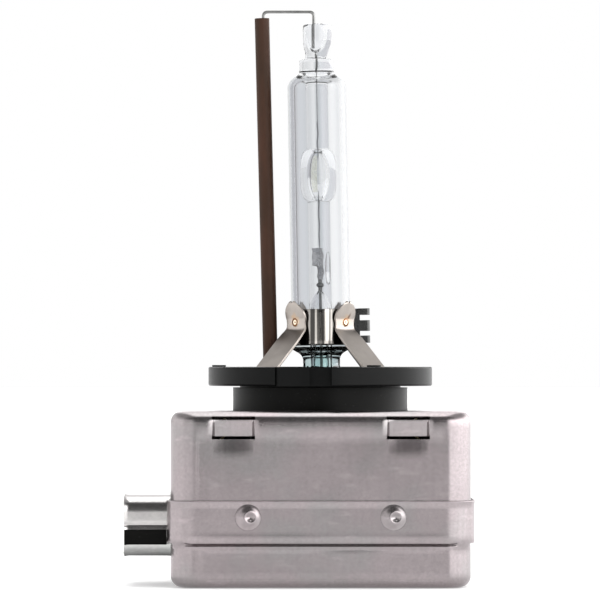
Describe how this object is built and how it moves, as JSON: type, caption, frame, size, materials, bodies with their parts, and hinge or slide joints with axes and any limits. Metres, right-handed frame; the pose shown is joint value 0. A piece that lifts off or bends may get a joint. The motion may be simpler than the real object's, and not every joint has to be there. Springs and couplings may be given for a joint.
{
  "type": "headlight bulb",
  "caption": "Gas-discharge headlight lamp: two-shell metal igniter case with a side connector, reference flange, welded legs and clamp band, and a clear glass jacket around a quartz burner.",
  "frame": {"origin": "on the lamp axis, at the centre of the reference flange's front face", "axes": "+Z along the lamp axis towards the burner's tip; -X towards the side connector; -Y towards the front that carries the flange's keyway"},
  "size_m": [0.0493, 0.038, 0.0819],
  "materials": {
    "case": "satin drawn sheet, faintly brushed",
    "shroud": "satin drawn sheet",
    "black_plastic": "moulded, matte",
    "flange_plastic": "moulded, half gloss",
    "seal_rubber": "silicone",
    "contact_metal": "tinned copper alloy",
    "spring_steel": "satin stainless",
    "clamp_steel": "polished stainless",
    "quartz": "clear",
    "salt": "thin yellow film",
    "tungsten": "dark drawn wire",
    "molybdenum": "foil",
    "nickel_wire": "drawn wire",
    "brown_ceramic": "unglazed, dark brown",
    "white_ceramic": "fired, white",
    "tray_plastic": "moulded, matte",
    "bobbin_plastic": "moulded, natural",
    "ferrite": "sintered, dark",
    "copper": "enamelled winding wire",
    "capacitor_resin": "dipped resin",
    "resistor_lacquer": "lacquered"
  },
  "bodies": {
    "root": {"upper_shell": "case", "lower_shell": "case", "connector_shroud": "shroud", "connector_insert": "black_plastic", "connector_seal": "seal_rubber", "contact_pins": "contact_metal", "base_body": "black_plastic", "flange_ring": "flange_plastic", "base_seal": "seal_rubber", "leg_front_left": "spring_steel", "leg_front_right": "spring_steel", "leg_rear_left": "spring_steel", "leg_rear_right": "spring_steel", "clamp_band": "clamp_steel", "outer_jacket": "quartz", "discharge_vessel": "quartz", "salt_film": "salt", "upper_electrode": "tungsten", "lower_electrode": "tungsten", "upper_foil": "molybdenum", "lower_foil": "molybdenum", "upper_lead": "nickel_wire", "lower_lead": "nickel_wire", "ceramic_tube": "brown_ceramic", "return_wire": "nickel_wire", "igniter_carrier": "tray_plastic", "carrier_lid": "tray_plastic", "bobbin": "bobbin_plastic", "ferrite_core": "ferrite", "secondary_winding": "copper", "primary_winding": "copper", "ignition_capacitor": "capacitor_resin", "spark_gap": "white_ceramic", "spark_gap_caps": "contact_metal", "bleed_resistor": "resistor_lacquer", "supply_strip": "contact_metal", "ignition_strip": "contact_metal", "return_strip": "contact_metal", "high_voltage_terminal": "contact_metal", "lead_insulator": "white_ceramic", "return_sleeve": "contact_metal", "earth_springs": "contact_metal"}
  },
  "joints": []
}
